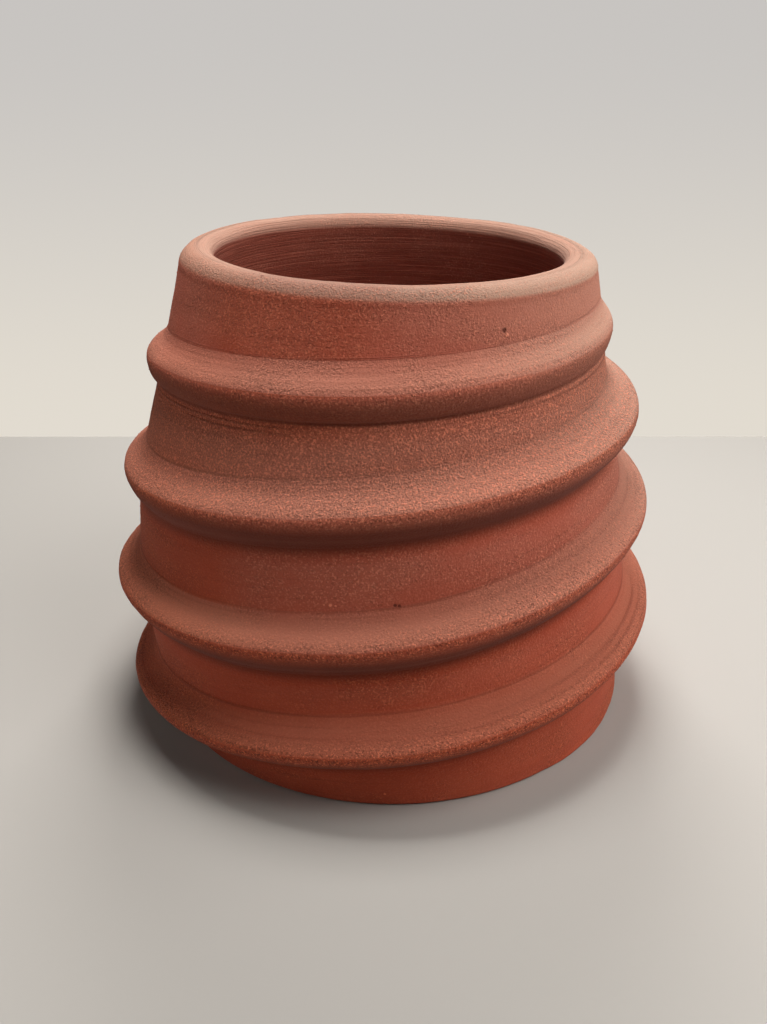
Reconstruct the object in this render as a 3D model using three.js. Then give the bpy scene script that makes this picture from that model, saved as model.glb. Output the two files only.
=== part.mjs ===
// Hand-built barrel pot of coarse red clay with one raised cordon winding up its wall
// Millimetres, +Z up, front towards -Y, origin at the centre of the foot's flat face
import * as THREE from 'three';

// Height, foot, floor and wall
const POT_HEIGHT = 141;
const FOOT_RADIUS = 73.4;
const FOOT_EDGE = 1.8;
const FLOOR_THICKNESS = 10;
const WALL_THICKNESS = 9.3;

// The rounded lip: full over its outer edge, tighter over its inner edge
const LIP_RADIUS = 59.5;
const LIP_THICKNESS = 9.6;
const LIP_OUTER_ROUND = 4.6;
const LIP_INNER_ROUND = 3.4;
const LIP_HEIGHT = 11;

// Across the lip, how much lower it is on the right than on the left, and in front than behind
const LIP_DROP = 2.7;
const LIP_DIP = 1;

// Outer radius of the bare wall by height, between the foot and the lip
const BELLY_RADIUS = 76.6;
const BELLY_HEIGHT = 33;
const SHOULDER_RADIUS = 73.4;
const SHOULDER_HEIGHT = 75;
const NECK_RADIUS = 66.4;
const NECK_HEIGHT = 105;

// The hand-built lean: the lip sits to the left of the foot, and the belly bows further left
const LIP_OFFSET = -1;
const BELLY_OFFSET = -3.2;

// Height of the cordon's crest on three sides: first course above the foot, last one below the lip
const LEFT_FIRST_CREST = 13.9;
const LEFT_LAST_DROP = 27.6;
const FRONT_FIRST_CREST = 26.4;
const FRONT_LAST_DROP = 23.4;
const RIGHT_FIRST_CREST = 36.1;
const RIGHT_LAST_DROP = 19.4;

// Where the cordon grows out of the foot, and where it dies away below the lip at the back
const RISE_CREST = -5;
const FOOT_CREST = 1.5;
const FADE_DROP = 18;

// How far the cordon stands out, and its section: sloping shelf above the crest, undercut below it
const CORDON_STAND = 8;
const SHELF_HEIGHT = 9.8;
const UNDERCUT_HEIGHT = 12;
const LEAST_UNDERCUT = 7;
const CORDON_EDGE = 0.4;

// Unevenness of the hand: courses that wander by a share of one rise, and shares of the full stand
const CORDON_SIDES = [
  {
    angle: -164,
    first: LEFT_FIRST_CREST,
    last: POT_HEIGHT - LEFT_LAST_DROP,
    wander: [0, 0, 0.02, 0],
    stands: [1.07, 0.86, 0.6, 0.5],
  },
  {
    angle: -90,
    first: FRONT_FIRST_CREST,
    last: POT_HEIGHT - FRONT_LAST_DROP,
    wander: [0, -0.01, 0.11, 0],
    stands: [1.16, 0.88, 0.8, 0.55],
  },
  {
    angle: -15,
    first: RIGHT_FIRST_CREST,
    last: POT_HEIGHT - RIGHT_LAST_DROP,
    wander: [0, 0.18, 0.2, 0],
    stands: [0.9, 0.92, 0.98, 0.32],
  },
];
const CORDON_ENDS = {
  rise: { angle: -75, stand: 0.15 },
  foot: { angle: -15, stand: 0.1 },
  fade: { angle: 50, stand: 0.15 },
};
const COURSES = 4;

// The cordon is rolled in lengths that butt together at the back of the pot
const BUTT_ANGLE = 90;
const CORDON_LENGTHS = 4;

// Slip between two clay members
const SLIP_GAP = 0.3;

// Fineness of the turned pieces and of the cordon
const ROUND_SEGMENTS = 64;
const CORDON_STEPS_PER_TURN = 48;
const WALL_STEPS = 12;
const LIP_ARC_STEPS = 5;
const EDGE_ARC_STEPS = 3;

const TURN = 360;
const radians = THREE.MathUtils.degToRad;
const { clamp, lerp } = THREE.MathUtils;
const lipLevel = POT_HEIGHT - LIP_OUTER_ROUND;
const wallTop = POT_HEIGHT - LIP_HEIGHT;

// Smooth curve through [position, value] stations
function through(stations, position) {
  const last = stations.length - 1;
  const at = clamp(position, stations[0][0], stations[last][0]);
  let i = 0;
  while (i < last - 1 && at > stations[i + 1][0]) i += 1;
  const slope = (a, b) => (stations[b][1] - stations[a][1]) / (stations[b][0] - stations[a][0]);
  const tangent = (k) => slope(Math.max(k - 1, 0), Math.min(k + 1, last));
  const span = stations[i + 1][0] - stations[i][0];
  const rise = stations[i + 1][1] - stations[i][1];
  const t = (at - stations[i][0]) / span;
  const bend = tangent(i) * span - rise;
  const unbend = rise - tangent(i + 1) * span;
  return stations[i][1] + t * rise + t * (1 - t) * ((1 - t) * bend + t * unbend);
}

function wallRadius(height) {
  const outline = [
    [0, FOOT_RADIUS],
    [BELLY_HEIGHT, BELLY_RADIUS],
    [SHOULDER_HEIGHT, SHOULDER_RADIUS],
    [NECK_HEIGHT, NECK_RADIUS],
    [lipLevel, LIP_RADIUS],
  ];
  return through(outline, height);
}

// Moves upright points to where the hand-built pot really leans
function settle(geometry) {
  const points = geometry.attributes.position;
  for (let i = 0; i < points.count; i += 1) {
    const height = points.getZ(i);
    const share = clamp(height / POT_HEIGHT, 0, 1);
    const sideways = LIP_OFFSET * share + BELLY_OFFSET * Math.sin(Math.PI * share);
    const lipShare = clamp((height - wallTop) / LIP_HEIGHT, 0, 1);
    const drop = (LIP_DROP * points.getX(i) - LIP_DIP * points.getY(i)) / (2 * LIP_RADIUS);
    points.setX(i, points.getX(i) + sideways);
    points.setZ(i, height - drop * lipShare);
  }
  geometry.computeVertexNormals();
  return geometry;
}

// Turns a closed outline of [radius, height] points round the pot's axis
function turned(outline) {
  const profile = outline.map(([radius, height]) => new THREE.Vector2(radius, height));
  const geometry = new THREE.LatheGeometry(profile, ROUND_SEGMENTS);
  geometry.rotateX(Math.PI / 2);
  return settle(geometry);
}

// Points of an arc in the outline, angles in degrees
function arc(radius, height, size, from, to, steps) {
  const points = [];
  for (let i = 0; i <= steps; i += 1) {
    const angle = radians(lerp(from, to, i / steps));
    points.push([radius + size * Math.cos(angle), height + size * Math.sin(angle)]);
  }
  return points;
}

function floorDisc() {
  const edge = arc(wallRadius(FOOT_EDGE) - FOOT_EDGE, FOOT_EDGE, FOOT_EDGE, -90, 0, EDGE_ARC_STEPS);
  const top = wallRadius(FLOOR_THICKNESS);
  return turned([[0, 0], ...edge, [top, FLOOR_THICKNESS], [0, FLOOR_THICKNESS]]);
}

function barrelWall() {
  const outside = [];
  const inside = [];
  for (let i = 0; i <= WALL_STEPS; i += 1) {
    const height = lerp(FLOOR_THICKNESS, wallTop, i / WALL_STEPS);
    outside.push([wallRadius(height), height]);
    inside.unshift([wallRadius(height) - WALL_THICKNESS, height]);
  }
  return turned([...outside, ...inside, outside[0]]);
}

function lipCoil() {
  const outer = wallRadius(wallTop);
  const inner = outer - WALL_THICKNESS;
  const mouth = LIP_RADIUS - LIP_THICKNESS;
  const roll = [
    ...arc(LIP_RADIUS - LIP_OUTER_ROUND, lipLevel, LIP_OUTER_ROUND, 0, 90, LIP_ARC_STEPS),
    ...arc(mouth + LIP_INNER_ROUND, POT_HEIGHT - LIP_INNER_ROUND, LIP_INNER_ROUND, 90, 180, LIP_ARC_STEPS),
  ];
  return turned([[inner, wallTop], [outer, wallTop], ...roll, [inner, wallTop]]);
}

// The cordon's stations as [degrees wound from the first front, crest height, stand]
const { rise, foot, fade } = CORDON_ENDS;
const stations = [
  [rise.angle, RISE_CREST, rise.stand * CORDON_STAND],
  [foot.angle, FOOT_CREST, foot.stand * CORDON_STAND],
];
for (let course = 0; course < COURSES; course += 1) {
  for (const { angle, first, last, wander, stands } of CORDON_SIDES) {
    const climbed = (last - first) / (COURSES - 1);
    const crest = first + climbed * (course + wander[course]);
    stations.push([(course + 1) * TURN + angle, crest, stands[course] * CORDON_STAND]);
  }
}
stations.push([COURSES * TURN + fade.angle, POT_HEIGHT - FADE_DROP, fade.stand * CORDON_STAND]);
const climb = stations.map(([wound, height]) => [wound, height]);
const standing = stations.map(([wound, , stand]) => [wound, stand]);

// Outline of the cordon from undercut to shelf: share of a slope's height, share of the stand
const OUTLINE = [
  [-1, 0],
  [-0.8, 0.2],
  [-0.58, 0.58],
  [-0.34, 0.85],
  [-0.08, 1],
  [0.14, 0.88],
  [0.42, 0.34],
  [0.7, 0.1],
  [1, 0],
];

// One ring of the cordon: its outline outside, its bed on the wall behind, cut flat at the foot
function cordonRing(wound) {
  const crest = through(climb, wound);
  const stand = through(standing, wound);
  const angle = radians(wound);
  const place = (height, out) => {
    const radius = wallRadius(height) + SLIP_GAP + out;
    return new THREE.Vector3(radius * Math.cos(angle), radius * Math.sin(angle), height);
  };
  const undercut = lerp(LEAST_UNDERCUT, UNDERCUT_HEIGHT, clamp(stand / CORDON_STAND, 0, 1));
  const slopeHeight = (side) => (side > 0 ? SHELF_HEIGHT : undercut);
  const top = crest + SHELF_HEIGHT;
  const bottom = Math.max(crest - undercut, 0);
  const shrink = (top - bottom) / (SHELF_HEIGHT + undercut);
  const outside = OUTLINE.map(([share]) => {
    const height = top - (SHELF_HEIGHT - share * slopeHeight(share)) * shrink;
    const above = height - crest;
    return place(height, CORDON_EDGE + stand * through(OUTLINE, above / slopeHeight(above)));
  });
  return [...outside, place(top, 0), place((top + bottom) / 2, 0), place(bottom, 0)];
}

// One rolled length of the cordon, closed at both ends
function cordonLength(from, to) {
  const steps = Math.ceil((to - from) / TURN * CORDON_STEPS_PER_TURN);
  const rings = [];
  for (let i = 0; i <= steps; i += 1) rings.push(cordonRing(lerp(from, to, i / steps)));
  const corners = [];
  const face = (...points) => points.forEach((point) => corners.push(...point.toArray()));
  const size = rings[0].length;
  for (let i = 0; i < steps; i += 1) {
    for (let j = 0; j < size; j += 1) {
      const k = (j + 1) % size;
      face(rings[i][j], rings[i + 1][j], rings[i + 1][k]);
      face(rings[i][j], rings[i + 1][k], rings[i][k]);
    }
  }
  const outline = (ring) => ring.map((point) => new THREE.Vector2(Math.hypot(point.x, point.y), point.z));
  const cap = (ring) => THREE.ShapeUtils.triangulateShape(outline(ring), []);
  for (const [a, b, c] of cap(rings[0])) face(rings[0][a], rings[0][b], rings[0][c]);
  for (const [a, b, c] of cap(rings[steps])) face(rings[steps][a], rings[steps][c], rings[steps][b]);
  const geometry = new THREE.BufferGeometry();
  geometry.setAttribute('position', new THREE.Float32BufferAttribute(corners, 3));
  return settle(geometry);
}

function clay(colour, roughness) {
  return new THREE.MeshStandardMaterial({ color: colour, roughness, metalness: 0 });
}

const bodyClay = clay(0x8a4636, 0.92);
const dustyClay = clay(0x9c5644, 0.95);

const pot = new THREE.Group();

function addPiece(name, geometry, material) {
  const piece = new THREE.Mesh(geometry, material);
  piece.name = name;
  pot.add(piece);
}

addPiece('floor_disc', floorDisc(), bodyClay);
addPiece('barrel_wall', barrelWall(), bodyClay);
addPiece('lip_coil', lipCoil(), dustyClay);

// Joints between the cordon's lengths, one a turn, kept apart by the slip
const slipAngle = THREE.MathUtils.radToDeg(SLIP_GAP / NECK_RADIUS);
for (let index = 0; index < CORDON_LENGTHS; index += 1) {
  const isFirst = index === 0;
  const isLast = index === CORDON_LENGTHS - 1;
  const from = isFirst ? climb[0][0] : BUTT_ANGLE + index * TURN + slipAngle;
  const to = isLast ? climb[climb.length - 1][0] : BUTT_ANGLE + (index + 1) * TURN;
  addPiece(`cordon_length_${index + 1}`, cordonLength(from, to), dustyClay);
}

export default pot;
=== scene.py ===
"""Dresses a hand-built clay pot: one fired skin over its fixed frame, with stage, light and camera."""

import math

import bpy
import numpy as np
from bpy.props import FloatProperty, FloatVectorProperty, IntProperty, PointerProperty
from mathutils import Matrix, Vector


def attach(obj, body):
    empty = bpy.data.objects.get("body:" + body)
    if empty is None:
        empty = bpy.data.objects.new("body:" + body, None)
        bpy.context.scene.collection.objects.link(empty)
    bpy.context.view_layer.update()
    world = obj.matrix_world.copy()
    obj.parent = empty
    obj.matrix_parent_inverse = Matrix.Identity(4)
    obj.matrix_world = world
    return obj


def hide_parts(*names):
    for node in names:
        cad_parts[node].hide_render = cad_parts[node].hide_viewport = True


bl_info = {
    "name": "Pot with a winding cordon",
    "version": (1, 1, 0),
    "blender": (4, 5, 0),
    "location": "View3D > Sidebar > Pot",
    "description": "Builds the fired clay skin of a pot with a winding cordon",
    "category": "Add Mesh",
}

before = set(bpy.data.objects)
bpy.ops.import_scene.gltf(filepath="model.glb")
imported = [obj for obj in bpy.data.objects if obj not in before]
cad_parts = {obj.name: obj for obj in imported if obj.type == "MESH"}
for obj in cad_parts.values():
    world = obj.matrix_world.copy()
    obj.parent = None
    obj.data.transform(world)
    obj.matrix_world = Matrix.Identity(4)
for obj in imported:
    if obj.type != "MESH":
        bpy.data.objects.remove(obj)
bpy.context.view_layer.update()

BODY = "root"
MM = 0.001
TURN = 2 * math.pi

# Courses of the cordon on three sides: wander as a share of one rise, stand as a share of the full one
COURSES = 4
CORDON_SIDES = (
    {"angle": math.radians(-164), "side": "left",
     "wander": (0, 0, 0.02, 0), "stands": (1.07, 0.86, 0.6, 0.5)},
    {"angle": math.radians(-90), "side": "front",
     "wander": (0, -0.01, 0.11, 0), "stands": (1.16, 0.88, 0.8, 0.55)},
    {"angle": math.radians(-15), "side": "right",
     "wander": (0, 0.18, 0.2, 0), "stands": (0.9, 0.92, 0.98, 0.32)},
)
# The cordon's start at the foot: angle, crest height, share of the full stand
CORDON_START = (
    (math.radians(-75), -5 * MM, 0.15),
    (CORDON_SIDES[-1]["angle"], 1.5 * MM, 0.1),
)
# Where it dies away after the last course, and how far below the lip
FADE_ANGLE = math.radians(50)
FADE_DROP = 18 * MM
# Where one length of the cordon meets the next
BUTT_ANGLE = math.radians(90)
CORDON_NODES = [f"cordon_length_{i + 1}" for i in range(COURSES)]

# Section of the cordon from undercut to shelf: share of a slope's height, share of the stand
OUTLINE = ((-1, 0), (-0.8, 0.2), (-0.58, 0.58), (-0.34, 0.85), (-0.08, 1), (0.14, 0.88), (0.42, 0.34),
           (0.7, 0.1), (1, 0))
# Share of the undercut's height at which its crease lies
CREASE = 0.82
# The last courses end sharply below the crest: at which share of the undercut, and over what share
CRISP_EDGE, CRISP_SPAN = 0.84, 0.14
# How many courses before the last turn's end this starts, and over how many it grows
CRISP_COURSES, CRISP_GROWTH = 1.1, 0.3
# Depth of the bed behind the cordon's face, and what is added to every stand
BED_DEPTH = 2.2 * MM
FACE_LIFT = 0.4 * MM
# Wound angle over which each end of the cordon thins out
END_TAPER = 0.5
# Points of the section's face and of its bed, and guide points for each facet round the pot
SECTION_POINTS = 58
BED_POINTS = 6
GUIDE_SHARE = 1.2
# Edges of a skin that are sharper than this look sharp
SHARP_ANGLE = math.radians(55)

# Fineness of the hand marks: the larger the number, the smaller they are
SWELL_SCALE, DENT_SCALE, GRIT_SCALE = 21, 85, 480
# Patches of grains that stand out; none just above the foot, and none just under the lip's top
GRAIN_PATCH_SCALE = 34
FOOT_BARE_TO, FOOT_GRAINS_FROM = 2.5 * MM, 4 * MM
LIP_GRAINS_TO, LIP_BARE_FROM = 2.5 * MM, 1.5 * MM

# Stands for the rise of a course where no crest bounds it: at the foot, near the lip and inside
COUNT_RISE = 0.030
# The count on the lip's top, where the inside goes on from the outside
TOP_COUNT = COURSES + 1.8

# How much lower the lip's seam lies for each metre to the right
LIP_SLOPE = 0.0227


def length(name, description, default):
    """A size that a user can change, in metres."""
    return FloatProperty(name=name, description=description, default=default, unit="LENGTH", precision=4)


class PotSizes(bpy.types.PropertyGroup):
    """Sizes of the clay body."""

    pot_height: length("Pot height", "Height of the lip above the foot", 0.141)
    foot_radius: length("Foot radius", "Radius of the flat foot", 0.0734)
    belly_radius: length("Belly radius", "Bare wall at the belly", 0.0766)
    belly_height: length("Belly height", "Height of the belly", 0.033)
    shoulder_radius: length("Shoulder radius", "Bare wall at the shoulder", 0.0734)
    shoulder_height: length("Shoulder height", "Height of the shoulder", 0.075)
    neck_radius: length("Neck radius", "Bare wall at the neck", 0.0664)
    neck_height: length("Neck height", "Height of the neck", 0.105)
    lip_radius: length("Lip radius", "Outer radius of the lip", 0.0595)
    lip_thickness: length("Lip thickness", "Thickness of the lip", 0.0096)
    lip_outer_round: length("Lip outer round", "Rounding over the lip's outer edge", 0.0046)
    lip_inner_round: length("Lip inner round", "Rounding over the lip's inner edge", 0.0034)
    lip_height: length("Lip height", "Height of the coil that makes the lip", 0.011)
    lip_drop: length("Lip drop", "How much lower the lip is on the right than on the left", 0.0027)
    lip_dip: length("Lip dip", "How much lower the lip is in front than behind", 0.001)
    lip_offset: length("Lip offset", "Sideways place of the lip over the foot", -0.001)
    belly_offset: length("Belly offset", "Sideways bow of the wall", -0.0032)
    wall: length("Wall", "Thickness of the wall", 0.0093)
    floor: length("Floor", "Thickness of the floor", 0.010)
    foot_edge: length("Foot edge", "Rounding under the foot", 0.0018)
    fillet: length("Inner fillet", "Rounding where the wall meets the floor inside", 0.006)
    left_first: length("Left, first crest", "Crest height of the first course on the left", 0.0139)
    left_drop: length("Left, last drop", "Last crest below the lip on the left", 0.0276)
    front_first: length("Front, first crest", "Crest height of the first course in front", 0.0264)
    front_drop: length("Front, last drop", "Last crest below the lip in front", 0.0234)
    right_first: length("Right, first crest", "Crest height of the first course on the right", 0.0361)
    right_drop: length("Right, last drop", "Last crest below the lip on the right", 0.0194)
    stand: length("Cordon stand", "How far the cordon stands out", 0.008)
    shelf: length("Shelf", "Height of the slope above the crest", 0.0098)
    undercut: length(
        "Undercut", "Height of the slope below the crest where the cordon stands out most", 0.012)
    least_undercut: length("Least undercut", "The same where it hardly stands out", 0.007)
    sink: length("Cordon sink", "How deep the cordon's edges are worked into the wall", 0.0005)
    swell: length("Swell", "Broad unevenness left by the hands", 0.0011)
    dents: length("Dents", "Small unevenness left by the fingers", 0.0004)
    grit: length("Grit", "Height of the coarse grain at the surface", 0.00012)
    grain_radius: length("Grain radius", "Radius of the largest grains of grog that stand out", 0.0002)
    grains: FloatProperty(
        name="Grains", description="Grains of grog on a square metre where they lie close", default=110000)
    around: IntProperty(name="Facets around", description="Facets of a skin round the pot", default=500)


class PotFinish(bpy.types.PropertyGroup):
    """Colours of the fired clay."""

    body: FloatVectorProperty(
        name="Body clay", description="Red-brown of the bare wall", default=(0.55, 0.138, 0.086),
        size=3, subtype="COLOR")
    warm: FloatVectorProperty(
        name="Warm clay", description="Redder, deeper patches, and clay in the shade of the cordon",
        default=(0.47, 0.084, 0.040), size=3, subtype="COLOR")
    inner: FloatVectorProperty(
        name="Inner clay", description="Clay inside the pot", default=(0.355, 0.074, 0.041),
        size=3, subtype="COLOR")
    dust: FloatVectorProperty(
        name="Dusty clay", description="Paler clay where it is raised or faces up",
        default=(0.60, 0.230, 0.148), size=3, subtype="COLOR")
    pale: FloatVectorProperty(
        name="Palest clay", description="Clay of the lip and of what faces the light",
        default=(0.52, 0.310, 0.218), size=3, subtype="COLOR")
    speck: FloatVectorProperty(
        name="Grog", description="Pale grains in the clay", default=(0.93, 0.350, 0.218),
        size=3, subtype="COLOR")
    deep: FloatVectorProperty(
        name="Deep clay", description="Dark clay in pores and creases", default=(0.14, 0.024, 0.010),
        size=3, subtype="COLOR")


# Numbers and nodes

class Value:
    """A node's socket; arithmetic on it adds Math nodes."""

    def __init__(self, bench, socket):
        self.bench, self.socket = bench, socket

    def _math(self, operation, a, b):
        return self.bench.node("ShaderNodeMath", {"operation": operation}, {0: a, 1: b})

    def __add__(self, other):
        return self._math("ADD", self, other)

    def __sub__(self, other):
        return self._math("SUBTRACT", self, other)

    def __rsub__(self, other):
        return self._math("SUBTRACT", other, self)

    def __mul__(self, other):
        return self._math("MULTIPLY", self, other)

    def __truediv__(self, other):
        return self._math("DIVIDE", self, other)

    def __rtruediv__(self, other):
        return self._math("DIVIDE", other, self)

    __radd__ = __add__
    __rmul__ = __mul__

    def is_below(self, other):
        """1 where this is smaller than the other, else 0."""
        return self._math("LESS_THAN", self, other)

    def at_least(self, other):
        return self._math("MAXIMUM", self, other)

    def alone(self, operation):
        """One of Math's operations on a single number."""
        return self.bench.node("ShaderNodeMath", {"operation": operation}, {0: self})


class Bench:
    """Adds nodes to one node tree."""

    def __init__(self, tree):
        self.tree = tree
        self.tree.nodes.clear()

    def node(self, kind, settings=None, inputs=None, output=0):
        """A node with its settings made first, then its sockets' values or links."""
        node = self.tree.nodes.new(kind)
        for key, value in (settings or {}).items():
            setattr(node, key, value)
        for key, value in (inputs or {}).items():
            socket = node.inputs[key] if isinstance(key, int) else self.named(node.inputs, key)
            if isinstance(value, Value):
                self.tree.links.new(value.socket, socket)
            else:
                socket.default_value = value
        outputs = [socket for socket in node.outputs if socket.enabled]
        if not outputs:
            return node
        found = outputs[output] if isinstance(output, int) else self.named(node.outputs, output)
        return Value(self, found)

    @staticmethod
    def named(sockets, key):
        """The enabled socket with this identifier or name."""
        for socket in sockets:
            if socket.identifier == key:
                return socket
        return next(socket for socket in sockets if socket.name == key and socket.enabled)

    def ramp(self, value, low, high):
        """0 below low, 1 above high, smooth between."""
        return self.node("ShaderNodeMapRange", {"interpolation_type": "SMOOTHSTEP"},
                         {"Value": value, "From Min": low, "From Max": high}, output="Result")

    def mix(self, share, a, b, blend="MIX"):
        """Colour a where share is 0, b where it is 1, or a blended with b."""
        return self.node("ShaderNodeMix", {"data_type": "RGBA", "blend_type": blend},
                         {"Factor_Float": share, "A_Color": a, "B_Color": b}, output="Result_Color")

    def noise(self, vector, scale, detail=2.0, roughness=0.55):
        """Soft random values near 0.5."""
        return self.node("ShaderNodeTexNoise", {}, {
            "Vector": vector, "Scale": scale, "Detail": detail, "Roughness": roughness})

    def vector(self, x, y, z):
        return self.node("ShaderNodeCombineXYZ", {}, {0: x, 1: y, 2: z})


def unit(value):
    """Held between 0 and 1, for numbers and for nodes."""
    if isinstance(value, Value):
        return value.bench.node("ShaderNodeClamp", {}, {"Value": value})
    return np.clip(value, 0, 1)


def through(stations, at):
    """Smooth curve through (position, value) stations, for numbers and for nodes."""
    last = len(stations) - 1

    def slope(a, b):
        return (stations[b][1] - stations[a][1]) / (stations[b][0] - stations[a][0])

    total = stations[0][1]
    for i in range(last):
        span = stations[i + 1][0] - stations[i][0]
        rise = stations[i + 1][1] - stations[i][1]
        bend = slope(max(i - 1, 0), i + 1) * span - rise
        unbend = rise - slope(i, min(i + 2, last)) * span
        t = unit((at - stations[i][0]) / span)
        total = total + t * rise + t * (1 - t) * ((1 - t) * bend + t * unbend)
    return total


# Shape of the pot

def wall_radius(sizes, height):
    """Outer radius of the bare wall at a height, for numbers and for nodes."""
    return through((
        (0.0, sizes.foot_radius),
        (sizes.belly_height, sizes.belly_radius),
        (sizes.shoulder_height, sizes.shoulder_radius),
        (sizes.neck_height, sizes.neck_radius),
        (sizes.pot_height - sizes.lip_outer_round, sizes.lip_radius),
    ), height)


def undercut_height(sizes, stand):
    """Height of the slope below the crest: less where the cordon stands out less."""
    return sizes.least_undercut + (sizes.undercut - sizes.least_undercut) * unit(stand / sizes.stand)


def cordon_stations(sizes):
    """Crest height and stand of the cordon by wound angle."""
    climb = [(angle, height) for angle, height, share in CORDON_START]
    stand = [(angle, share * sizes.stand) for angle, height, share in CORDON_START]
    for course in range(COURSES):
        for side in CORDON_SIDES:
            wound = (course + 1) * TURN + side["angle"]
            first = getattr(sizes, side["side"] + "_first")
            last = sizes.pot_height - getattr(sizes, side["side"] + "_drop")
            rise = (last - first) / (COURSES - 1)
            climb.append((wound, first + rise * (course + side["wander"][course])))
            stand.append((wound, side["stands"][course] * sizes.stand))
    climb.append((COURSES * TURN + FADE_ANGLE, sizes.pot_height - FADE_DROP))
    stand.append((COURSES * TURN + FADE_ANGLE, 0.0))
    return climb, stand


def hand_marks(bench, sizes, ring):
    """Unevenness left by the hands, mostly inwards: ring is the place on the upright pot."""
    swell = (bench.noise(ring, SWELL_SCALE, 1) - 0.60) * sizes.swell
    dents = (bench.noise(ring, DENT_SCALE, 2) - 0.55) * sizes.dents
    grit = (bench.noise(ring, GRIT_SCALE, 2, 0.7) - 0.55) * sizes.grit
    return swell + dents + grit


def leaned_point(bench, sizes, angle, height, out, rough, lift=0.0):
    """Where a point of the upright pot comes to lie on the leaning, hand-marked one."""
    across, along = angle.alone("COSINE"), angle.alone("SINE")
    radius = wall_radius(sizes, height) + out
    marks = hand_marks(bench, sizes, bench.vector(across * radius, along * radius, height))
    radius = radius + marks * rough
    share = unit(height / sizes.pot_height)
    sideways = sizes.lip_offset * share + sizes.belly_offset * (share * math.pi).alone("SINE")
    top = unit((height - (sizes.pot_height - sizes.lip_height)) / sizes.lip_height)
    x = radius * across
    y = radius * along
    drop = (sizes.lip_drop * x - sizes.lip_dip * y) / (sizes.lip_radius * 2)
    return bench.vector(x + sideways, y, height - drop * top + marks * lift)


class TreeSizes:
    """The sizes as named inputs of a geometry tree, read like those of PotSizes."""

    def __init__(self, bench):
        start = bench.tree.nodes.new("NodeGroupInput")
        for socket in start.outputs:
            if socket.name:
                setattr(self, socket.name.lower().replace(" ", "_"), Value(bench, socket))


def geometry_bench(name, keys, extra):
    """An empty geometry tree whose inputs are the sizes named by keys, and the extra ones."""
    tree = bpy.data.node_groups.new(name, "GeometryNodeTree")
    tree.interface.new_socket("Geometry", in_out="INPUT", socket_type="NodeSocketGeometry")
    for key in keys:
        tree.interface.new_socket(key.replace("_", " ").capitalize(), in_out="INPUT",
                                  socket_type="NodeSocketFloat")
    for label, kind in extra:
        tree.interface.new_socket(label, in_out="INPUT", socket_type=f"NodeSocket{kind}")
    tree.interface.new_socket("Geometry", in_out="OUTPUT", socket_type="NodeSocketGeometry")
    bench = Bench(tree)
    return bench, TreeSizes(bench)


def grown(name, mesh, tree, inputs):
    """The plain mesh that a geometry tree makes of a mesh, with inputs given by name."""
    seed = bpy.data.objects.new(name + "_seed", mesh)
    bpy.context.scene.collection.objects.link(seed)
    modifier = seed.modifiers.new("grow", "NODES")
    modifier.node_group = tree
    for item in tree.interface.items_tree:
        if item.in_out == "INPUT" and item.name in inputs:
            modifier[item.identifier] = inputs[item.name]
    bpy.context.view_layer.update()
    evaluated = seed.evaluated_get(bpy.context.evaluated_depsgraph_get())
    result = bpy.data.meshes.new_from_object(evaluated)
    seed.modifiers.clear()
    bpy.data.objects.remove(seed)
    result.name = name
    return result


def line_mesh(name, columns):
    """A line of points that carries one number a point for each named column."""
    count = len(next(iter(columns.values())))
    mesh = bpy.data.meshes.new(name)
    mesh.vertices.add(count)
    mesh.edges.add(count - 1)
    pairs = np.stack([np.arange(count - 1), np.arange(1, count)], -1)
    mesh.edges.foreach_set("vertices", pairs.ravel().astype(np.int32))
    for key, values in columns.items():
        mesh.attributes.new(key, "FLOAT", "POINT").data.foreach_set("value", np.asarray(values, np.float32))
    mesh.update()
    return mesh


WALL_KEYS = (
    "pot_height", "foot_radius", "belly_radius", "belly_height", "shoulder_radius", "shoulder_height",
    "neck_radius", "neck_height", "lip_radius", "lip_outer_round", "lip_height", "lip_drop", "lip_dip",
    "lip_offset", "belly_offset", "swell", "dents", "grit", "grains", "grain_radius")


def sampled(bench, geometry, key, index):
    """A named number of the input line at an index."""
    number = bench.node("GeometryNodeInputNamedAttribute", {"data_type": "FLOAT"}, {"Name": key})
    return bench.node("GeometryNodeSampleIndex", {"data_type": "FLOAT", "domain": "POINT"},
                      {"Geometry": geometry, "Value": number, "Index": index})


def counted(bench, geometry):
    """A curve whose points each remember their own number, and that number."""
    index = bench.node("GeometryNodeInputIndex")
    node = bench.tree.nodes.new("GeometryNodeCaptureAttribute")
    node.capture_items.new("FLOAT", "Index")
    node.domain = "POINT"
    bench.tree.links.new(geometry.socket, node.inputs["Geometry"])
    bench.tree.links.new(index.socket, node.inputs["Index"])
    return Value(bench, node.outputs["Geometry"]), Value(bench, node.outputs["Index"])


def swept(bench, path, section, caps):
    """A skin from a path and a section, and each point's number along both."""
    path, along = counted(bench, path)
    section, round_section = counted(bench, section)
    skin = bench.node("GeometryNodeCurveToMesh", {}, {
        "Curve": path, "Profile Curve": section, "Fill Caps": caps})
    return skin, along, round_section


def points_on_line(bench, count):
    """A straight curve with this many points."""
    line = bench.node("GeometryNodeCurvePrimitiveLine")
    return bench.node("GeometryNodeResampleCurve", {}, {"Curve": line, "Count": count})


def stored(bench, geometry, key, number):
    """Geometry whose points carry a number under a name."""
    return bench.node("GeometryNodeStoreNamedAttribute", {"data_type": "FLOAT", "domain": "POINT"},
                      {"Geometry": geometry, "Name": key, "Value": number})


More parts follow.
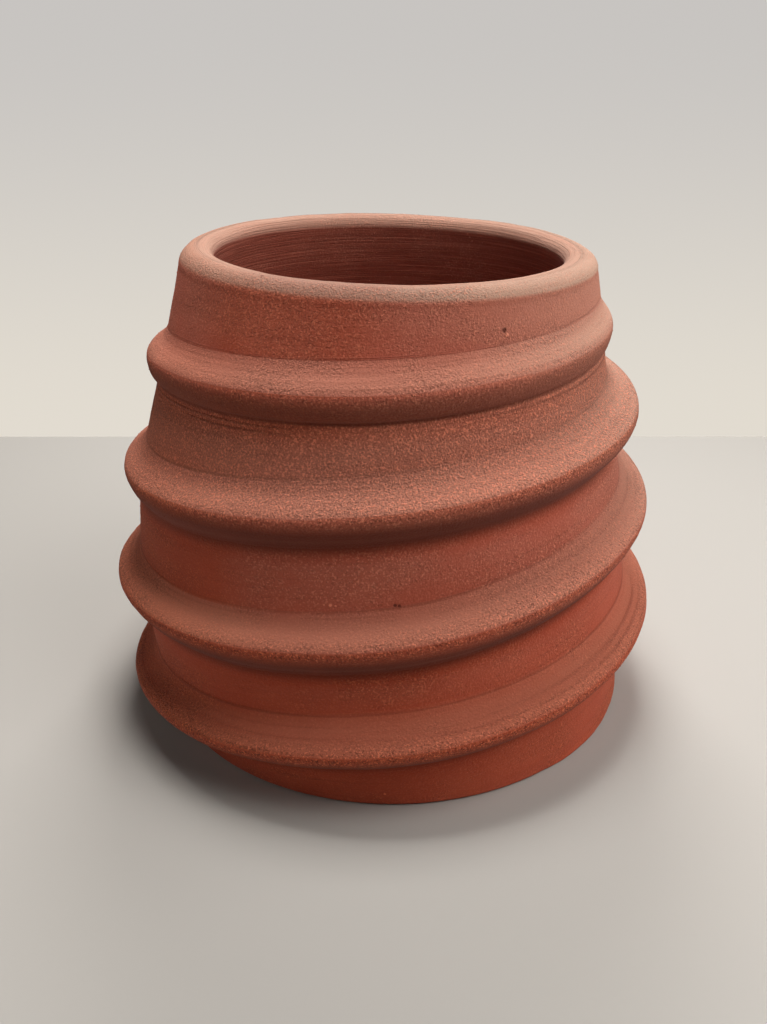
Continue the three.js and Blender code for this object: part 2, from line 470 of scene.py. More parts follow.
def grog_grains(bench, sizes, skin):
    """Grains of grog half sunk in a skin: in patches, none on the foot or on the lip's very top."""
    place = bench.node("GeometryNodeInputPosition")
    height = bench.node("GeometryNodeInputNamedAttribute", {"data_type": "FLOAT"}, {"Name": "height"})
    patch = bench.ramp(bench.noise(place, GRAIN_PATCH_SCALE, 3, 0.6), 0.42, 0.66) * 0.6 + 0.3
    patch = patch * bench.ramp(height, FOOT_BARE_TO, FOOT_GRAINS_FROM)
    patch = patch * (1 - bench.ramp(
        height, sizes.pot_height - LIP_GRAINS_TO, sizes.pot_height - LIP_BARE_FROM))
    points = bench.node("GeometryNodeDistributePointsOnFaces", {"distribute_method": "RANDOM"}, {
        "Mesh": skin, "Density": sizes.grains * patch, "Seed": 7}, output="Points")
    turn = bench.node("FunctionNodeRandomValue", {"data_type": "FLOAT_VECTOR"}, {
        "Min": (0, 0, 0), "Max": (TURN, TURN, TURN), "Seed": 3})
    size = bench.node("FunctionNodeRandomValue", {"data_type": "FLOAT"}, {
        "Min_001": 0.0, "Max_001": 1.0, "Seed": 11})
    grain = bench.node("GeometryNodeMeshIcoSphere", {}, {"Radius": sizes.grain_radius, "Subdivisions": 1})
    grains = bench.node("GeometryNodeInstanceOnPoints", {}, {
        "Points": points, "Instance": grain, "Rotation": turn, "Scale": size * size * 0.6 + 0.4})
    grains = bench.node("GeometryNodeRealizeInstances", {}, {"Geometry": grains})
    return stored(bench, grains, "grain", 1.0)


def finished_tree(bench, sizes, skin, position, angle, height, flip):
    """Ends a tree: places the points, keeps their angle and height, adds grains, gives the clay."""
    placed = bench.node("GeometryNodeSetPosition", {}, {"Geometry": skin, "Position": position})
    for key, number in (("angle", angle), ("height", height)):
        placed = stored(bench, placed, key, number)
    placed = bench.node("GeometryNodeMergeByDistance", {}, {"Geometry": placed, "Distance": 0.001 * MM})
    if flip:
        placed = bench.node("GeometryNodeFlipFaces", {}, {"Mesh": placed})
    placed = bench.node("GeometryNodeSetShadeSmooth", {}, {"Geometry": placed})
    joined = bench.node("GeometryNodeJoinGeometry", {}, {0: placed})
    bench.tree.links.new(grog_grains(bench, sizes, placed).socket, joined.socket.node.inputs[0])
    placed = bench.node("GeometryNodeRealizeInstances", {}, {"Geometry": joined})
    placed = bench.node("GeometryNodeSetMaterial", {}, {"Geometry": placed, "Material": sizes.material})
    end = bench.tree.nodes.new("NodeGroupOutput")
    bench.tree.links.new(placed.socket, end.inputs["Geometry"])
    return bench.tree


def turned_tree():
    """Turns an outline round the pot's axis, leaning and marked by hand."""
    bench, sizes = geometry_bench("turned_clay", WALL_KEYS, (
        ("Facets around", "Int"), ("Outline points", "Int"), ("Material", "Material")))
    path = bench.node("GeometryNodeCurvePrimitiveCircle", {}, {"Resolution": sizes.facets_around})
    skin, along, number = swept(bench, path, points_on_line(bench, sizes.outline_points), False)
    angle = along / sizes.facets_around * TURN
    out, height, rough, lift = (sampled(bench, sizes.geometry, key, number)
                                for key in ("out", "height", "rough", "lift"))
    position = leaned_point(bench, sizes, angle, height, out, rough, lift)
    return finished_tree(bench, sizes, skin, position, angle, height, False)


def cordon_tree():
    """Winds the cordon's section along a guide that gives wound angle, crest height and stand."""
    bench, sizes = geometry_bench("wound_cordon", WALL_KEYS + ("shelf", "sink", "foot_edge"), (
        ("Guide points", "Int"), ("Section points", "Int"), ("Bed points", "Int"), ("Material", "Material")))
    total = sizes.section_points + sizes.bed_points
    section = bench.node("GeometryNodeCurvePrimitiveCircle", {}, {"Resolution": total})
    skin, along, number = swept(bench, points_on_line(bench, sizes.guide_points), section, True)
    angle, crest, stand, undercut, crisp = (sampled(bench, sizes.geometry, key, along) for key in (
        "wound", "crest", "stand", "undercut", "crisp"))
    top = crest + sizes.shelf
    bottom = (crest - undercut).at_least(0.0)
    is_face = number.is_below(sizes.section_points - 0.5)
    down_face = unit(number / (sizes.section_points - 1))
    up_bed = unit((number - sizes.section_points) / (sizes.bed_points - 1))
    down = is_face * down_face + (1 - is_face) * (1 - up_bed)
    height = top + (bottom - top) * down
    above = height - crest
    is_undercut = above.is_below(0.0)
    share = above / (sizes.shelf + is_undercut * (undercut - sizes.shelf))
    cut = 1 - crisp * (1 - unit((share + CRISP_EDGE) / CRISP_SPAN))
    heel = 1 - unit(height / sizes.foot_edge)
    heel = (1 - (1 - heel * heel).alone("SQRT")) * sizes.foot_edge
    face = (stand + sizes.sink) * through(OUTLINE, share) * cut - sizes.sink - heel
    out = is_face * face - (1 - is_face) * BED_DEPTH
    position = leaned_point(bench, sizes, angle, height, out, 1.0)
    return finished_tree(bench, sizes, skin, position, angle, height, True)


def tree_inputs(sizes, tree, **more):
    """Values for a tree's named inputs: the sizes of the same name, and more."""
    values = {}
    for item in tree.interface.items_tree:
        key = item.name.lower().replace(" ", "_")
        if item.in_out == "INPUT" and hasattr(sizes, key):
            values[item.name] = getattr(sizes, key)
    values.update(more)
    return values


def tree_of(build):
    """A geometry tree, built once."""
    found = bpy.data.node_groups.get(build.__name__)
    if found:
        return found
    tree = build()
    tree.name = build.__name__
    return tree


def mark_courses(mesh, sizes, is_outside):
    """Tells each point where it lies between the cordon's courses, in metres and in courses."""
    count = len(mesh.vertices)
    angle, height = np.empty(count, np.float32), np.empty(count, np.float32)
    mesh.attributes["angle"].data.foreach_get("value", angle)
    mesh.attributes["height"].data.foreach_get("value", height)
    climb, stand = cordon_stations(sizes)
    turned = (angle + math.pi) % TURN - math.pi
    crests = np.stack([through(climb, turned + course * TURN) for course in range(COURSES + 1)])
    stands = np.stack([through(stand, turned + course * TURN) for course in range(COURSES + 1)])
    creases = CREASE * undercut_height(sizes, stands)
    crests = np.maximum.accumulate(crests + np.arange(COURSES + 1)[:, None] * 1e-5, axis=0)
    under = np.sum(crests <= height, axis=0)
    pad_low, pad_high = crests[:1] - COUNT_RISE, crests[-1:] + COUNT_RISE
    ladder = np.concatenate([pad_low, crests, pad_high])
    stand_ladder = np.concatenate([stands[:1] * 0, stands, stands[-1:] * 0])
    crease_ladder = np.concatenate([creases[:1], creases, creases[-1:]])
    rows = np.arange(count)
    low, high = ladder[under, rows], ladder[under + 1, rows]
    course = under + (height - low) / (high - low)
    outside = is_outside(height)
    inner_course = TOP_COUNT + (height - sizes.pot_height) / COUNT_RISE
    columns = {
        "course": course * outside + inner_course * (1 - outside),
        "above": np.where(outside > 0.5, height - low, COUNT_RISE),
        "below": np.where(outside > 0.5, high - height, COUNT_RISE),
        "raised_above": stand_ladder[under, rows] / sizes.stand,
        "raised_below": stand_ladder[under + 1, rows] / sizes.stand,
        "crease": high - height - crease_ladder[under + 1, rows],
        "outside": outside,
    }
    for key, values in columns.items():
        mesh.attributes.new(key, "FLOAT", "POINT").data.foreach_set("value", values.astype(np.float32))
    for key in ("angle", "height"):
        mesh.attributes.remove(mesh.attributes[key])


def finish_piece(mesh, name, slot, *nodes):
    """Links a piece and lets it stand for its frame nodes."""
    mesh.set_sharp_from_angle(angle=SHARP_ANGLE)
    piece = bpy.data.objects.new(name, mesh)
    bpy.context.scene.collection.objects.link(piece)
    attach(piece, BODY)
    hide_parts(*nodes)
    return piece


def turned_piece(context, name, slot, node, outline):
    """A turned piece from an outline of (radius, height, rough, lift) points."""
    sizes = context.scene.pot_sizes
    outline = np.array(outline)
    tree = tree_of(turned_tree)
    line = line_mesh(name + "_outline", {
        "out": outline[:, 0] - wall_radius(sizes, outline[:, 1]),
        "height": outline[:, 1], "rough": outline[:, 2], "lift": outline[:, 3]})
    mesh = grown(name, line, tree, tree_inputs(sizes, tree, **{
        "Facets around": sizes.around, "Outline points": len(outline),
        "Material": clay_for(context.scene, slot)}))
    points = np.empty((len(mesh.vertices), 3), np.float32)
    mesh.vertices.foreach_get("co", points.ravel())

    def is_outside(height):
        lean = sizes.lip_offset * height / sizes.pot_height
        lean = lean + sizes.belly_offset * np.sin(math.pi * height / sizes.pot_height)
        reach = np.hypot(points[:, 0] - lean, points[:, 1])
        return unit((reach - wall_radius(sizes, height) + sizes.wall * 0.6) / (sizes.wall * 0.2))

    mark_courses(mesh, sizes, is_outside)
    return finish_piece(mesh, name, slot, node)


# Fired clay

# Heights between which the wall turns into the lip, and the lip into its rim
LIP_FROM, LIP_TO = 0.1315, 0.1350
RIM_FROM, RIM_TO = 0.1371, 0.1384
# Grain of the clay: the larger the number, the finer
GRAIN_SCALE, SPECK_SCALE, PIT_SCALE = 2100, 1750, 1600
# Tint of the painted shade: darker and redder
SHADE_TINT = (0.94, 0.61, 0.39)
# Single spots and the chips of a scratch: radius and place in millimetres
DARK_SPOTS = ((0.9, 26.7, -53.8, 129.5), (0.6, 0.3, -74.6, 64.9), (0.6, 1.4, -74.6, 64.8))
FAINT_SPOTS = ((0.7, -32.3, -45.5, 141), (0.5, -34.6, -43.6, 141))
LIGHT_SPOTS = ((0.7, 27.5, -53.6, 128.4), (0.6, -16, -73.6, 64.4), (0.4, -14.6, -73.8, 64.3),
               (0.4, -17.6, -73.4, 64.4), (0.5, -2.3, -73.7, 4.6), (0.8, -58.5, -42.5, 91.9))
SCRATCH_CHIPS = ((0.5, 23.9, 43.4, 137.6), (0.55, 24.6, 43.0, 136.7), (0.5, 25.3, 42.7, 135.7),
                 (0.4, 26.0, 42.3, 134.5))
# Broad soft areas, given the same way: two of painted shade, two of dust and painted light, one shelf
# darkened as painted shade
SHADE_UNDER_LIP = (34, -26, -54, 128)
SHADE_LEFT = (30, -60, -52, 68)
DUST_AND_LIGHT_FRONT = (34, 0, -76, 98)
DUST_AND_LIGHT_LEFT = (30, -57, -57, 53)
PAINTED_SHADE_SHELF = (48, -18, -62, 122)


def colour(values):
    """Four numbers for a colour socket."""
    return (*values, 1.0)


def shader_bench(name):
    material = bpy.data.materials.new(name)
    material.use_nodes = True
    return material, Bench(material.node_tree)


def fired_clay(name, finish, dustiness):
    """Matte unglazed clay: sandy patches, tool lines along the courses, dust on what is raised, and painted
    light and shade.
    """
    material, bench = shader_bench(name)
    place = bench.node("ShaderNodeTexCoord", output="Object")
    facing = bench.node("ShaderNodeTexCoord", output="Normal")
    x, y, z = (bench.node("ShaderNodeSeparateXYZ", {}, {0: place}, output=axis) for axis in ("X", "Y", "Z"))

    def number(key):
        return bench.node("ShaderNodeAttribute", {"attribute_name": key}, output="Fac")

    def noise(scale, detail=2.0, roughness=0.55, vector=place):
        return bench.noise(vector, scale, detail, roughness)

    def drawn_out(across, up):
        """The place for a pattern that runs along the courses, as fine as the two numbers say."""
        return bench.vector(x * across, y * across, course * up)

    def line(distance, at, width):
        """1 on a thin line at a distance from a crest, 0 off it."""
        return 1 - bench.ramp((distance - at).alone("ABSOLUTE"), width * 0.3, width)

    def spot(radius, *centre):
        """1 in a round spot of the surface, 0 off it, from its radius and place in millimetres."""
        distance = bench.node("ShaderNodeVectorMath", {"operation": "DISTANCE"}, {
            0: place, 1: [v * MM for v in centre]}, output="Value")
        return 1 - bench.ramp(distance, radius * 0.4 * MM, radius * MM)

    def spots(rows):
        """All the spots that the rows name."""
        return sum(spot(*row) for row in rows)

    # Places: crests, the underside face beside them that painted shade darkens, and the shelf, the bare wall
    # between, the lip and its rim
    above, below, course, crease, outside, grain_of = (
        number(key) for key in ("above", "below", "course", "crease", "outside", "grain"))
    crest = (1 - bench.ramp(above, 0.5 * MM, 3.5 * MM)) * number("raised_above")
    edge = (1 - bench.ramp(below, 1.5 * MM, 6.5 * MM)) * number("raised_below")
    off_crest = bench.ramp((course - course.alone("ROUND")).alone("ABSOLUTE"), 0.015, 0.03)
    undercut = (1 - bench.ramp(crease.alone("ABSOLUTE"), 1.5 * MM, 7 * MM)) * number("raised_below")
    undercut = undercut * outside * off_crest
    upper = bench.ramp(course, 3.95, 4.05)
    crease_end = (4.5 - upper * 3.8) * MM
    under_face = bench.ramp(crease, -8.5 * MM, -3.5 * MM) * (1 - bench.ramp(crease, 0, crease_end))
    under_face = under_face * unit(number("raised_below") * 1.4) * outside * off_crest
    shelf = (1 - bench.ramp(above, 6.7 * MM, 7.4 * MM)) * unit(number("raised_above") * 2.5)
    wall_only = (1 - shelf) * (1 - edge) * outside
    level = z + x * LIP_SLOPE
    lip = bench.ramp(level, LIP_FROM, LIP_TO)
    rim = bench.ramp(level, RIM_FROM, RIM_TO)

    # Patterns: streaks and patches run along the courses, grain and pits all over
    streaks = noise(1.0, 3, 0.65, drawn_out(14, 38))
    brushed = noise(1.0, 2, 0.6, drawn_out(40, 70))
    broad = noise(1.0, 2, 0.5, drawn_out(9, 7))
    patches = bench.ramp(noise(1.0, 3, 0.6, drawn_out(24, 1.7)), 0.42, 0.62)
    cloud = bench.ramp(noise(48, 3), 0.36, 0.66)
    grain = bench.ramp(noise(GRAIN_SCALE, 2, 0.7), 0.32, 0.68)
    specks = bench.ramp(noise(SPECK_SCALE, 1, 0.5), 0.54, 0.63)
    pits = bench.ramp(noise(PIT_SCALE, 1, 0.5), 0.54, 0.63)
    presence = bench.ramp(noise(16, 1), 0.46, 0.58)
    sideways = bench.ramp(x.alone("ABSOLUTE"), 14 * MM, 32 * MM)
    top_course = upper * sideways
    top_band = upper * (1 - bench.ramp(course, 4.85, 5.0)) * unit(number("raised_below") * 2.5) * outside

    # Marks: lines that a tool left, the seam above each shelf, grit, and single spots
    tool = line(crease, 1.6 * MM, 0.45 * MM) + line(crease, 3.0 * MM, 0.4 * MM) * presence
    tool = tool * top_course * unit(number("raised_below") * 3)
    low = (1 - bench.ramp(course, 2.3, 2.5)) * (presence * 0.25 + sideways * 0.25)
    tool = tool + (line(above, 1.0 * MM, 0.35 * MM) + line(above, 2.3 * MM, 0.35 * MM)) * low
    tool = tool + line(above, 3.4 * MM, 0.3 * MM) * low * presence
    tool = tool * outside * off_crest
    seam = line(above, 7.3 * MM, 0.55 * MM) * unit(number("raised_above") * 2) * outside * off_crest
    seam = seam * bench.ramp(streaks, 0.38, 0.58)
    grit = unit(patches * 0.35 + edge * 0.8 + crest * 0.5 + top_band * 0.7 + 0.15)
    grit = grit * (0.4 + outside * 0.6) * (1 - under_face * 0.5)
    dark_spots = spots(DARK_SPOTS) + spots(FAINT_SPOTS) * 0.5
    light_spots = spots(LIGHT_SPOTS)
    scratch = spots(SCRATCH_CHIPS)

    # Painted light and shade, and dust: paler where it faces up or to the light, redder and darker in painted
    # shade
    upward = bench.ramp(bench.node("ShaderNodeSeparateXYZ", {}, {0: facing}, output="Z"), 0.02, 0.95)
    # Painted light: paler towards the upper right, where the light falls
    painted_light_right = bench.ramp(x * 0.75 + z * 0.66, 0.078, 0.135) * outside
    # Painted shade: darker and redder low down, on the left, under the cordon, on its undersides, on the bare
    # wall and in two broad areas; less where it faces up
    shaded = (1 - bench.ramp(z, 0.015, 0.085)) * 0.9 + (1 - bench.ramp(x, -0.085, -0.015)) * 0.6
    shaded = shaded * (1 - upward * 0.35) + undercut * 0.5
    shaded = (shaded + wall_only * (1 - rim) * 0.12 + edge * 0.55) * outside
    shaded = shaded + spot(*SHADE_UNDER_LIP) * wall_only * (1 - rim) * 0.5
    shaded = shaded + spot(*SHADE_LEFT) * wall_only * 0.5
    # Dust where it faces up or is raised, which also paints the light from above; two broad areas and the
    # band under the top course are paler as painted light; less of it under the cordon and low down
    dust_and_painted_light = upward * (0.40 + shelf * 0.40) + crest * 0.2 + patches * 0.10 + dustiness - undercut * 0.4
    dust_and_painted_light = dust_and_painted_light + spot(*DUST_AND_LIGHT_FRONT) * 0.15 + spot(*DUST_AND_LIGHT_LEFT) * shelf * 0.3
    dust_and_painted_light = dust_and_painted_light + top_band * wall_only * 0.40
    dust_and_painted_light = dust_and_painted_light * (0.6 + bench.ramp(z, 0.02, 0.055) * 0.4)
    # Pale rim of the lip, partly its own paler clay and partly painted light, and the painted light towards
    # the upper right
    pale_rim_and_painted_light = rim * (0.58 + upward * 0.22) + painted_light_right * (0.46 + upward * 0.5)

    # Colour, laid on from the body clay outwards
    # Body clay with redder random patches, and redder under the cordon as painted shade
    tone = bench.mix(unit(cloud * 0.35 + broad * 0.4 + undercut * 0.4 - 0.15), colour(finish.body),
                     colour(finish.warm))
    # Inside the pot the clay is darker, as painted shade, with deep clay between the wiping marks and dust on
    # them
    tone = bench.mix((1 - outside) * 0.85, tone, colour(finish.inner))
    wiped = bench.ramp(noise(1.0, 3, 0.7, drawn_out(22, 60)), 0.36, 0.66)
    tone = bench.mix((1 - outside) * (1 - wiped) * 0.45, tone, colour(finish.deep))
    tone = bench.mix((1 - outside) * bench.ramp(wiped, 0.75, 1) * 0.28, tone, colour(finish.dust))
    tone = bench.mix(unit(dust_and_painted_light * (0.65 + streaks * 0.7)), tone, colour(finish.dust))
    tone = bench.mix(unit(pale_rim_and_painted_light), tone, colour(finish.pale))
    tone = bench.mix(unit((brushed - 0.5) * 0.9 * (0.3 + upward)), tone, colour(finish.dust))
    # Grog specks and grains; the band under the top course is paler here as painted light
    tone = bench.mix(unit((specks + (grain - 0.5) * 0.6) * grit + grain_of * 0.3 + light_spots
                          + scratch * 0.35 + top_band * 0.16), tone, colour(finish.speck))
    tone = bench.mix(seam * 0.3, tone, colour(finish.deep))
    # Deep clay in pits, tool lines, streaks and spots, less on the band under the top course as painted
    # light, and one shelf darkened as painted shade
    tone = bench.mix(unit((pits * 0.6 + (0.5 - grain) * 0.5) * grit * (1 - top_band * 0.6 - rim * 0.5)
                          + tool * 0.35 + (0.42 - streaks) * (1 - lip) + dark_spots
                          + spot(*PAINTED_SHADE_SHELF) * upward * 0.28), tone, colour(finish.deep))
    # The painted shade, multiplied into the colour
    tone = bench.mix(unit(shaded), tone, colour(SHADE_TINT), "MULTIPLY")
    # Painted shade: the cordon's undersides darkened towards deep clay
    tone = bench.mix(under_face * 0.9, tone, colour(finish.deep))

    # Relief: grains and streaks stand up, pits, tool lines and the seam lie lower
    relief = (grain * 0.9 + specks * 0.9 - pits * 0.9) * (grit * 0.9 + 0.1)
    relief = relief + streaks * 0.25 + brushed * 0.15 - tool - seam * 0.7 - dark_spots + light_spots
    relief = relief + wiped * (1 - outside) * 0.8
    bump = bench.node("ShaderNodeBump", {}, {"Height": relief, "Distance": 0.3 * MM, "Strength": 1.0})
    surface = bench.node("ShaderNodeBsdfPrincipled", {}, {
        "Base Color": tone, "Roughness": 0.84 + grain * 0.14, "Normal": bump,
        "Specular IOR Level": 0.25, "Diffuse Roughness": 0.6, "Sheen Weight": 0.06,
        "Sheen Roughness": 0.6, "Sheen Tint": (1.0, 0.80, 0.70, 1.0)}, output="BSDF")
    bench.node("ShaderNodeOutputMaterial", {}, {"Surface": surface})
    return material


def floor_material(name):
    """Plain pale stone."""
    material, bench = shader_bench(name)
    surface = bench.node("ShaderNodeBsdfPrincipled", {}, {
        "Base Color": colour(FLOOR_TONE), "Roughness": 0.9, "Specular IOR Level": 0.2}, output="BSDF")
    bench.node("ShaderNodeOutputMaterial", {}, {"Surface": surface})
    return material


def backdrop_material(name):
    """Pale wall that shows painted light to the camera, paler and warmer low down, and lights the pot like
    plain paint.
    """
    material, bench = shader_bench(name)
    place = bench.node("ShaderNodeTexCoord", output="Object")
    height = bench.node("ShaderNodeSeparateXYZ", {}, {0: place}, output="Z")
    # Painted light: the backdrop paler and warmer low down, greyer high up
    shown_with_painted_light = bench.mix(bench.ramp(height, -0.20, 0.24), colour(BACKDROP_LOW), colour(BACKDROP_HIGH))
    seen = (bench.node("ShaderNodeLightPath", output=key)
            for key in ("Is Camera Ray", "Is Glossy Ray", "Is Transmission Ray"))
    paint = bench.node("ShaderNodeBsdfDiffuse", {}, {"Color": colour(BACKDROP_PAINT)})
    glow = bench.node("ShaderNodeEmission", {}, {"Color": shown_with_painted_light, "Strength": 1.0})
    surface = bench.node("ShaderNodeMixShader", {}, {0: unit(sum(seen, 0)), 1: paint, 2: glow})
    bench.node("ShaderNodeOutputMaterial", {}, {"Surface": surface})
    return material


# How much more dust lies on what is raised than on the body
DUSTINESS = {"body_clay": 0.0, "ridge_clay": 0.04}


def clay_for(scene, slot):
    """The material of a slot, made once."""
    name = "fired_" + slot
    return bpy.data.materials.get(name) or fired_clay(name, scene.pot_finish, DUSTINESS[slot])


# One operator for each piece

class POT_OT_floor(bpy.types.Operator):
    """Builds the floor slab with its flat foot."""

    bl_idname = "pot.floor"
    bl_label = "Floor slab"

    def execute(self, context):
        sizes = context.scene.pot_sizes
        edge = sizes.foot_edge
        heel = wall_radius(sizes, edge) - edge
        outline = [(r, 0.0, 0.0, 0.0) for r in np.linspace(0, heel, 16, endpoint=False)]
        for a in np.linspace(-math.pi / 2, 0, 9):
            outline.append((heel + edge * math.cos(a), edge + edge * math.sin(a), 1 + math.sin(a), 0.0))
        for z in np.linspace(edge, sizes.floor, 11)[1:]:
            outline.append((wall_radius(sizes, z), z, 1.0, 0.0))
        side = wall_radius(sizes, sizes.floor)
        inner = side - sizes.wall
        outline += [(r, sizes.floor, 0.0, 0.0) for r in np.linspace(side, inner, 4)[1:]]
        outline += [(r, sizes.floor, 0.0, 0.8) for r in np.linspace(inner, 0, 34)[1:]]
        turned_piece(context, "floor_skin", "body_clay", "floor_disc", outline)
        return {"FINISHED"}


class POT_OT_wall(bpy.types.Operator):
    """Builds the barrel wall with its hand marks, outside and inside."""

    bl_idname = "pot.wall"
    bl_label = "Barrel wall"

    def execute(self, context):
        sizes = context.scene.pot_sizes
        top = sizes.pot_height - sizes.lip_height
        outline = [(wall_radius(sizes, z), z, 1.0, 0.0) for z in np.linspace(sizes.floor, top, 112)]
        for z in np.linspace(top, sizes.floor, 36):
            low = 1 - unit((z - sizes.floor) / sizes.fillet)
            fillet = sizes.fillet * (1 - math.sqrt(1 - low * low))
            outline.append((wall_radius(sizes, z) - sizes.wall - fillet, z, 1.0, 0.0))
        outline.append(outline[0])
        turned_piece(context, "barrel_skin", "body_clay", "barrel_wall", outline)
        return {"FINISHED"}


class POT_OT_lip(bpy.types.Operator):
    """Builds the rounded lip coil."""

    bl_idname = "pot.lip"
    bl_label = "Lip coil"

    def execute(self, context):
        sizes = context.scene.pot_sizes
        base = sizes.pot_height - sizes.lip_height
        level = sizes.pot_height - sizes.lip_outer_round
        mouth = sizes.lip_radius - sizes.lip_thickness
        outline = [(wall_radius(sizes, z), z, 1.0, 0.0) for z in np.linspace(base, level, 10, endpoint=False)]
        for a in np.linspace(0, math.pi / 2, 18):
            centre = sizes.lip_radius - sizes.lip_outer_round
            outline.append((centre + sizes.lip_outer_round * math.cos(a),
                            level + sizes.lip_outer_round * math.sin(a), 1.0, math.sin(a)))
        flat = np.linspace(outline[-1][0], mouth + sizes.lip_inner_round, 5)[1:-1]
        outline += [(r, sizes.pot_height, 1.0, 1.0) for r in flat]
        low = sizes.pot_height - sizes.lip_inner_round
        for a in np.linspace(math.pi / 2, math.pi, 14):
            centre = mouth + sizes.lip_inner_round
            outline.append((centre + sizes.lip_inner_round * math.cos(a),
                            low + sizes.lip_inner_round * math.sin(a), 1.0, math.sin(a)))
        for t in np.linspace(0, 1, 9)[1:]:
            target = wall_radius(sizes, base) - sizes.wall
            outline.append((mouth + t * (target - mouth), low + t * (base - low), 1.0, 0.0))
        outline.append(outline[0])
        turned_piece(context, "lip_skin", "ridge_clay", "lip_coil", outline)
        return {"FINISHED"}


class POT_OT_cordon(bpy.types.Operator):
    """Winds the cordon up the wall in its four lengths."""

    bl_idname = "pot.cordon"
    bl_label = "Cordon"

    def execute(self, context):
        sizes = context.scene.pot_sizes
        climb, stand = cordon_stations(sizes)
        tree = tree_of(cordon_tree)
        butts = [BUTT_ANGLE + (i + 1) * TURN for i in range(COURSES - 1)]
        ends = [climb[0][0], *butts, climb[-1][0]]
        for index, node in enumerate(CORDON_NODES):
            turns = (ends[index + 1] - ends[index]) / TURN
            wound = np.linspace(ends[index], ends[index + 1], int(turns * sizes.around * GUIDE_SHARE))
            fade = unit((wound - ends[0]) / END_TAPER) * unit((ends[-1] - wound) / END_TAPER)
            standing = through(stand, wound)
            line = line_mesh(node + "_guide", {
                "wound": wound, "crest": through(climb, wound),
                "undercut": undercut_height(sizes, standing),
                "crisp": unit((wound / TURN - COURSES + CRISP_COURSES) / CRISP_GROWTH),
                "stand": (standing + FACE_LIFT) * fade - sizes.sink * (1 - fade)})
            name = f"cordon_skin_{index + 1}"
            mesh = grown(name, line, tree, tree_inputs(sizes, tree, **{
                "Guide points": len(wound), "Section points": SECTION_POINTS, "Bed points": BED_POINTS,
                "Material": clay_for(context.scene, "ridge_clay")}))
            mark_courses(mesh, sizes, lambda height: np.ones(len(height)))
            finish_piece(mesh, name, "ridge_clay", node)
        return {"FINISHED"}


# Stage, light and camera

# Image and its middle in pixels, sensor in millimetres, the rest in metres
IMAGE_LONG_SIDE = 1024
SENSOR = 36.0
FOCAL_PIXELS = 1010.3
AXIS_PIXELS_RIGHT = 5.0
CAMERA_BACK = 0.2947
CAMERA_HEIGHT = 0.1917
CAMERA_SIDE = -0.0013
CAMERA_PITCH = math.radians(24.65)
TABLE_EDGE = 0.221
ROOM_WALL = 0.75
ROOM_LOW, ROOM_HIGH = -1.5, 2.5
ROOM_HALF_WIDTH = 4
TABLE_FRONT = -2
STAGE_HALF_WIDTH = 3
FLOOR_TONE = (0.47, 0.44, 0.40)
BACKDROP_PAINT = (0.66, 0.64, 0.61)
# Backdrop as the camera sees it, low and high: painted light, paler and warmer low down
BACKDROP_LOW = (0.76, 0.71, 0.63)
BACKDROP_HIGH = (0.575, 0.553, 0.532)
ROOM_TINT = (1.0, 0.98, 0.95)
ROOM_STRENGTH = 0.01
# Lamps: name, place, side of the square, power in watts; all of them aim at one point
LIGHT_AIM = Vector((0, 0, 0.07))
LIGHTS = (
    ("light_above", (0.0, 0.0, 0.69), 0.20, 2.8),
    ("light_behind", (0.0, 0.40, 0.545), 0.25, 2.6),
    ("light_front_right", (0.282, -0.282, 0.545), 0.30, 1.5),
    ("light_right", (0.583, 0.0, 0.282), 0.45, 1.65),
    ("light_left", (-0.585, -0.10, 0.23), 0.30, 0.42),
    ("light_front", (0.05, -0.60, 0.21), 0.30, 0.14),
)


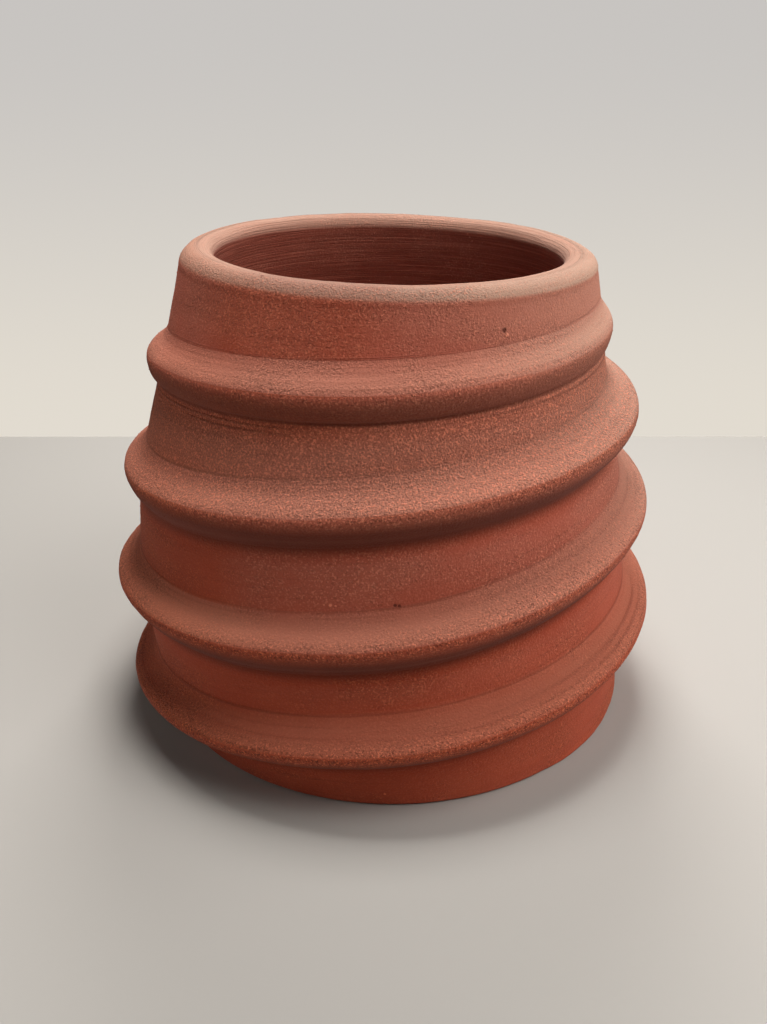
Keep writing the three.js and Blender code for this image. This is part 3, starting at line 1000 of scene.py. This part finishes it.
class POT_OT_stage(bpy.types.Operator):
    """Sets the floor, backdrop, lights, world and camera."""

    bl_idname = "pot.stage"
    bl_label = "Stage"

    def execute(self, context):
        scene = context.scene
        scene.view_settings.view_transform = "Standard"
        for name, half, near, far, dress in (
            ("stage_floor", STAGE_HALF_WIDTH, (TABLE_FRONT, 0), (TABLE_EDGE, 0), floor_material),
            ("stage_backdrop", ROOM_HALF_WIDTH, (ROOM_WALL, ROOM_LOW), (ROOM_WALL, ROOM_HIGH),
             backdrop_material),
        ):
            points = [(-half, *near), (half, *near), (half, *far), (-half, *far)]
            mesh = bpy.data.meshes.new(name)
            mesh.from_pydata(points, [], [(0, 1, 2, 3)])
            mesh.materials.append(dress(name))
            plane = bpy.data.objects.new(name, mesh)
            scene.collection.objects.link(plane)
        world = bpy.data.worlds.new("soft_room")
        world.use_nodes = True
        background = world.node_tree.nodes["Background"]
        background.inputs["Color"].default_value = colour(ROOM_TINT)
        background.inputs["Strength"].default_value = ROOM_STRENGTH
        scene.world = world
        for name, place, size, power in LIGHTS:
            light = bpy.data.lights.new(name, "AREA")
            light.size, light.energy = size, power
            lamp = bpy.data.objects.new(name, light)
            lamp.location = place
            lamp.rotation_euler = (LIGHT_AIM - Vector(place)).to_track_quat("-Z", "Y").to_euler()
            scene.collection.objects.link(lamp)
        data = bpy.data.cameras.new("camera")
        data.sensor_width = SENSOR
        data.lens = FOCAL_PIXELS / IMAGE_LONG_SIDE * SENSOR
        data.shift_x = -AXIS_PIXELS_RIGHT / IMAGE_LONG_SIDE
        camera = bpy.data.objects.new("camera", data)
        camera.location = (CAMERA_SIDE, -CAMERA_BACK, CAMERA_HEIGHT)
        camera.rotation_euler = (math.pi / 2 - CAMERA_PITCH, 0, 0)
        scene.collection.objects.link(camera)
        scene.camera = camera
        return {"FINISHED"}


class POT_PT_panel(bpy.types.Panel):
    """Lists the pot's sizes, colours and pieces."""

    bl_idname = "POT_PT_panel"
    bl_label = "Pot with a winding cordon"
    bl_space_type = "VIEW_3D"
    bl_region_type = "UI"
    bl_category = "Pot"

    def draw(self, context):
        for group in (context.scene.pot_sizes, context.scene.pot_finish):
            for key in group.bl_rna.properties.keys():
                if key not in {"rna_type", "name"}:
                    self.layout.prop(group, key)
        for operator in OPERATORS:
            self.layout.operator(operator.bl_idname)


OPERATORS = (POT_OT_stage, POT_OT_floor, POT_OT_wall, POT_OT_lip, POT_OT_cordon)
CLASSES = (PotSizes, PotFinish, *OPERATORS, POT_PT_panel)


def register():
    for cls in CLASSES:
        bpy.utils.register_class(cls)
    bpy.types.Scene.pot_sizes = PointerProperty(type=PotSizes)
    bpy.types.Scene.pot_finish = PointerProperty(type=PotFinish)


def unregister():
    del bpy.types.Scene.pot_finish
    del bpy.types.Scene.pot_sizes
    for cls in reversed(CLASSES):
        bpy.utils.unregister_class(cls)


def main():
    """Builds the dressed pot."""
    register()
    bpy.ops.pot.stage()
    bpy.ops.pot.floor()
    bpy.ops.pot.wall()
    bpy.ops.pot.lip()
    bpy.ops.pot.cordon()


if __name__ == "__main__":
    main()
